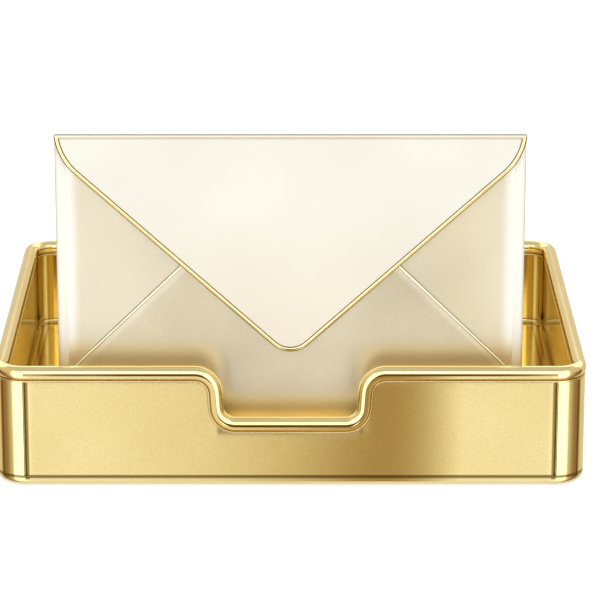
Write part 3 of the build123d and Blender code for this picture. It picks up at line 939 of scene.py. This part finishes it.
def makePanels():
    setup = panelSetup
    low, high = traySetup["baseTop"], traySetup["wallTop"]
    clear = traySetup["cornerRadius"] + setup["jointGap"]
    reachX, reachY = halfWidth - clear, halfDepth - clear
    outer, inner, edge = setup["recess"], setup["recess"] + setup["sheet"], setup["edgeRound"]
    upper, lower = notchCorners(collarSetup["bottom"])
    topRound, lowRound = railSetup["topRadius"], railSetup["lowRadius"]
    notch = [upper, lower, (-lower[0], lower[1]), (-upper[0], upper[1])]
    corners = [(-reachX, low), (reachX, low), (reachX, high), *notch, (-reachX, high)]
    shallow, deep = topRound - collarSetup["bottom"], lowRound + collarSetup["bottom"]
    radii = [0, 0, 0, shallow, deep, deep, shallow, 0]
    outline = roundedCorners(corners, radii, setup["notchSteps"])
    face, back = outer - halfDepth, inner - halfDepth
    front = slab("frontPanel", outline, "y", face, back, "satinGold", edge)
    place(front, "tray", "satin_gold", "front_panel")
    flat = [(-reachX, low), (reachX, low), (reachX, high), (-reachX, high)]
    rear = slab("rearPanel", flat, "y", -back, -face, "satinGold", edge)
    place(rear, "tray", "satin_gold", "rear_panel")
    for word, side in (("left", -1), ("right", 1)):
        near, far = side * (halfWidth - outer), side * (halfWidth - inner)
        outline = [(near, -reachY), (near, reachY), (far, reachY), (far, -reachY)]
        panel = slab(word + "Panel", outline, "z", low, high, "satinGold", edge)
        place(panel, "tray", "satin_gold", word + "_panel")


def darkenLips(mesh, x, y, side, end):
    # The lips behind the panels' edges get a painted shadow, seen as the dark lines of the upright
    # joints.
    mesh.materials.append(finishes["jointShadow"])
    for face in mesh.polygons:
        u = side * (face.center.x / millimetre - x)
        v = end * (face.center.y / millimetre - y)
        isUpright = abs(face.normal.z) < postSetup["uprightBelow"]
        if min(u, v) < postSetup["lipTolerance"] and isUpright:
            face.material_index = 1


def makeCornerPosts():
    setup = postSetup
    radius = traySetup["cornerRadius"]
    lipOut = panelSetup["recess"] + panelSetup["sheet"]
    lipIn = lipOut + setup["lip"]
    inner, steps = radius - lipIn, setup["arcSteps"]
    corners = [(0, radius), (radius, radius), (radius, 0)]
    outerArc = roundedCorners(corners, [0, radius, 0], steps, False)
    corners = [(inner, 0), (inner, inner), (0, inner)]
    innerArc = roundedCorners(corners, [0, inner, 0], steps, False)
    reach, lip = -setup["lipReach"], radius - lipOut
    outline = [
        *outerArc[1:-1], (lip, 0), (lip, reach), (inner, reach),
        *innerArc[1:-1], (reach, inner), (reach, lip), (0, lip),
    ]
    low, high = traySetup["baseTop"], traySetup["wallTop"]
    for endWord, end in (("front", -1), ("rear", 1)):
        for sideWord, side in (("left", -1), ("right", 1)):
            x, y = side * (halfWidth - radius), end * (halfDepth - radius)
            around = [(x + side * u, y + end * v) for u, v in outline]
            name = "cornerPost" + endWord.title() + sideWord.title()
            post = slab(name, around, "z", low, high, "polishedGold", setup["edgeRound"], 1)
            darkenLips(post.data, x, y, side, end)
            place(post, "tray", "polished_gold", f"corner_post_{endWord}_{sideWord}")


makeRimRail()
makeRimCollar()
makeBaseRail()
makePanels()
makeCornerPosts()
print("tray ready")


envelopeSetup = {
    "halfWidth": 114.5, "bottom": 17.3, "top": 174.7, "front": -94.5,
    "pocketFront": -92.65, "frameFront": -91.65, "sideFlapBack": -90.85,
}

pocketSetup = {
    "half": 111.4, "bottom": 20.4, "shoulder": 50.9, "apex": 136.0, "apexHalf": 24.0,
    "apexRadius": 8.0, "roundSteps": 12, "edgeRound": 0.3, "edgeSteps": 3,
}

sideFlapSetup = {
    "half": 109.2, "bottom": 22.6, "top": 170.3, "apexHalf": 12.0, "apex": 94.7, "apexRadius": 5.0,
    "roundSteps": 12, "edgeRound": 0.1, "edgeSteps": 1,
}

seamBeadSetup = {"radius": 0.85, "sides": 24}

flapBeadSetup = {
    "radius": 1.33, "half": 113.17, "top": 173.37, "shoulderHalf": 110.97, "shoulder": 161.87,
    "tip": 61.4, "wideRadius": 29.5, "tipRadius": 12.0, "sheet": 1.2, "arcSteps": 36, "sides": 32,
}


def makePocket():
    setup = pocketSetup
    half, apexHalf, apexRadius = setup["half"], setup["apexHalf"], setup["apexRadius"]
    bottom, shoulder, apex = setup["bottom"], setup["shoulder"], setup["apex"]
    corners = [
        (-half, bottom), (half, bottom), (half, shoulder),
        (apexHalf, apex), (-apexHalf, apex), (-half, shoulder),
    ]
    outline = roundedCorners(corners, [0, 0, 0, apexRadius, apexRadius, 0], setup["roundSteps"])
    front, back = envelopeSetup["pocketFront"], envelopeSetup["frameFront"]
    edge, steps = setup["edgeRound"], setup["edgeSteps"]
    pocket = slab("pocketPanel", outline, "y", front, back, "pocketLacquer", edge, steps)
    place(pocket, "envelope", "pearl_lacquer", "pocket_panel")


def makeSideFlaps():
    setup = sideFlapSetup
    front, back = envelopeSetup["frameFront"], envelopeSetup["sideFlapBack"]
    edge, steps = setup["edgeRound"], setup["edgeSteps"]
    for word, side in (("left", -1), ("right", 1)):
        outer, inner = side * setup["half"], side * setup["apexHalf"]
        corners = [(outer, setup["bottom"]), (outer, setup["top"]), (inner, setup["apex"])]
        outline = roundedCorners(corners, [0, 0, setup["apexRadius"]], setup["roundSteps"])
        flap = slab(word + "SideFlap", outline, "y", front, back, "pearlLacquer", edge, steps)
        place(flap, "envelope", "pearl_lacquer", "side_flap_" + word)


def makeSeamBeads():
    setup = pocketSetup
    y = (envelopeSetup["pocketFront"] + envelopeSetup["frameFront"]) / 2
    flat = envelopeSetup["frameFront"] - y
    start = Vector((setup["half"], setup["shoulder"]))
    rise = Vector((setup["apexHalf"], setup["apex"])) - start
    end = start + rise * (1 - setup["apexRadius"] / rise.length)
    around = roundSection(seamBeadSetup["radius"], flat, seamBeadSetup["sides"])
    for word, side in (("left", -1), ("right", 1)):
        points = [(side * start.x, y, start.y), (side * end.x, y, end.y)]
        # The section's u axis runs to the front on one side and to the back on the other.
        section = [(side * v, u) for u, v in around]
        bead = sweepPiece(word + "SeamBead", points, [0, 0], False, section, "seamGold")
        place(bead, "envelope", "bead_gold", "seam_bead_" + word)


def makeFlapBead():
    setup = flapBeadSetup
    y = envelopeSetup["front"] + setup["sheet"] / 2
    half, top, shoulder = setup["half"], setup["top"], setup["shoulderHalf"]
    points = [
        (half, y, top), (shoulder, y, setup["shoulder"]), (0, y, setup["tip"]),
        (-shoulder, y, setup["shoulder"]), (-half, y, top),
    ]
    radii = [0, setup["wideRadius"], setup["tipRadius"], setup["wideRadius"], 0]
    around = roundSection(setup["radius"], setup["sheet"] / 2, setup["sides"])
    section = [(v, u) for u, v in around]
    bead = sweepPiece("flapBead", points, radii, False, section, "beadGold", setup["arcSteps"])
    place(bead, "flap", "bead_gold", "flap_bead")


# Where the middle of a rounding stands, as a share of its radius in from the corner.
arcMiddle = 0.3

# How far a cutter reaches past the face that it opens.
cutterReach = 1

fastenerSetup = {
    "headRadius": 2.75, "shankRadius": 1.5, "socket": 1.8, "headRound": 0.25, "tipRound": 0.4,
    "steps": 40, "boreSteps": 32, "turns": [0.3, 1.1, 0.7, 2.0, 1.6, 0.9],
    "baseScrew": {"head": 0.5, "seat": 1.4, "tip": 9.9, "socketDepth": 0.6},
    "channelScrew": {"head": 19.0, "seat": 17.3, "tip": 11.2, "socketDepth": 0.85},
    "nut": {"flats": 5.5, "low": 11.8, "high": 14.2, "bore": 1.55, "edgeRound": 0.3},
    "post": {"radius": 4.0, "low": 2.6, "high": 14.2, "bore": 1.55, "boreTop": 12.1},
    "basePlaces": [(x, y) for x in (-100, 0, 100) for y in (-64, 64)],
    "channelPlaces": [(x, -99.2) for x in (-65, 0, 65)],
}

footSetup = {
    "radius": 7.0, "height": 1.4, "edgeRound": 0.4, "groove": 0.25, "grooveRadius": 4.6,
    "places": [(x, y) for x in (-119, 119) for y in (-87, 87)],
    "turns": [0, 0.5, 1.0, 1.5], "steps": 48,
}


def latheMesh(name, profile, steps):
    # Turns a profile of (radius, height) about the upright axis.
    shape = bmesh.new()
    rings = []
    turns = [2 * math.pi * step / steps for step in range(steps)]
    for radius, height in profile:
        # A ring on the axis is a single point.
        around = turns if radius > 0 else turns[:1]
        points = [(radius * math.cos(turn), radius * math.sin(turn), height) for turn in around]
        rings.append([shape.verts.new(millimetres(*point)) for point in points])
    for lower, upper in zip(rings, rings[1:]):
        for step in range(steps):
            following = (step + 1) % steps
            corners = [
                lower[step % len(lower)], lower[following % len(lower)],
                upper[following % len(upper)], upper[step % len(upper)],
            ]
            unique = list(dict.fromkeys(corners))
            if len(unique) > 2:
                shape.faces.new(unique)
    bmesh.ops.recalc_face_normals(shape, faces=shape.faces)
    mesh = bpy.data.meshes.new(name)
    shape.to_mesh(mesh)
    shape.free()
    smoothFaces(mesh)
    return mesh


def cutWith(piece, tool):
    cut = piece.modifiers.new("cut", "BOOLEAN")
    cut.object = tool
    cut.operation = "DIFFERENCE"
    cut.solver = "EXACT"
    mesh = evaluatedMesh(piece)
    piece.modifiers.clear()
    piece.data = mesh
    bpy.data.objects.remove(tool)
    smoothFaces(mesh)


def hexagon(flats):
    radius = flats / math.sqrt(3)
    turns = [math.pi * step / 3 + math.pi / 6 for step in range(6)]
    return [(radius * math.cos(turn), radius * math.sin(turn)) for turn in turns]


def socketScrew(name, setup):
    shared = fastenerSetup
    top, seat, tip = setup["head"], setup["seat"], setup["tip"]
    up = 1 if top > seat else -1
    head, shank = shared["headRadius"], shared["shankRadius"]
    curve, taper = shared["headRound"], shared["tipRound"]
    middle = arcMiddle * curve
    profile = [
        (0, top), (head - curve, top), (head - middle, top - up * middle), (head, top - up * curve),
        (head, seat), (shank, seat), (shank, tip + up * taper), (shank - taper, tip), (0, tip),
    ]
    screw = newPiece(name, latheMesh(name, profile, shared["steps"]), "screwSteel")
    floor, ceiling = top - up * setup["socketDepth"], top + up * cutterReach
    cutWith(screw, slab("socketTool", hexagon(shared["socket"]), "z", floor, ceiling, None))
    return screw


def makeFasteners():
    setup = fastenerSetup
    turns = setup["turns"]
    basePoints = [(x, y, 0) for x, y in setup["basePlaces"]]
    channelPoints = [(x, y, 0) for x, y in setup["channelPlaces"]]
    channelTurns = turns[:len(channelPoints)]
    part = socketScrew("baseScrew", setup["baseScrew"])
    screws = scatterPiece("baseScrews", part, basePoints, turns, "screwSteel")
    place(screws, "tray", "screw_steel", "base_screws")
    part = socketScrew("channelScrew", setup["channelScrew"])
    screws = scatterPiece("channelScrews", part, channelPoints, channelTurns, "screwSteel")
    place(screws, "tray", "screw_steel", "channel_screws")
    nut = setup["nut"]
    low, high, radius = nut["low"], nut["high"], nut["bore"]
    part = slab("nut", hexagon(nut["flats"]), "z", low, high, "screwSteel", nut["edgeRound"])
    below, above = low - cutterReach, high + cutterReach
    bore = [(0, below), (radius, below), (radius, above), (0, above)]
    cutWith(part, newPiece("nutBore", latheMesh("nutBore", bore, setup["boreSteps"]), None))
    nuts = scatterPiece("channelNuts", part, channelPoints, [0] * len(channelPoints), "screwSteel")
    place(nuts, "tray", "screw_steel", "channel_nuts")
    post = setup["post"]
    low, high, radius = post["low"], post["high"], post["radius"]
    bore, boreTop = post["bore"], post["boreTop"]
    profile = [
        (bore, low), (radius, low), (radius, high), (0, high),
        (0, boreTop), (bore, boreTop), (bore, low),
    ]
    mesh = latheMesh("threadedPost", profile, setup["steps"])
    part = newPiece("threadedPost", mesh, "screwSteel")
    posts = scatterPiece("threadedPosts", part, basePoints, turns, "screwSteel")
    place(posts, "tray", "screw_steel", "threaded_posts")


def makeFeet():
    setup = footSetup
    radius, height, curve = setup["radius"], setup["height"], setup["edgeRound"]
    groove, ring, middle = setup["groove"], setup["grooveRadius"], arcMiddle * setup["edgeRound"]
    profile = [
        (0, 0), (ring - 2 * groove, 0), (ring, groove), (ring + 2 * groove, 0), (radius - curve, 0),
        (radius - middle, middle), (radius, curve), (radius, height), (0, height),
    ]
    part = newPiece("footPad", latheMesh("footPad", profile, setup["steps"]), "footRubber")
    points = [(x, y, 0) for x, y in setup["places"]]
    feet = scatterPiece("footPads", part, points, setup["turns"], "footRubber")
    place(feet, "tray", "foot_rubber", "feet")


makeFasteners()
makeFeet()
print("fasteners and feet ready")
makePocket()
makeSideFlaps()
makeSeamBeads()
makeFlapBead()
print("envelope ready")
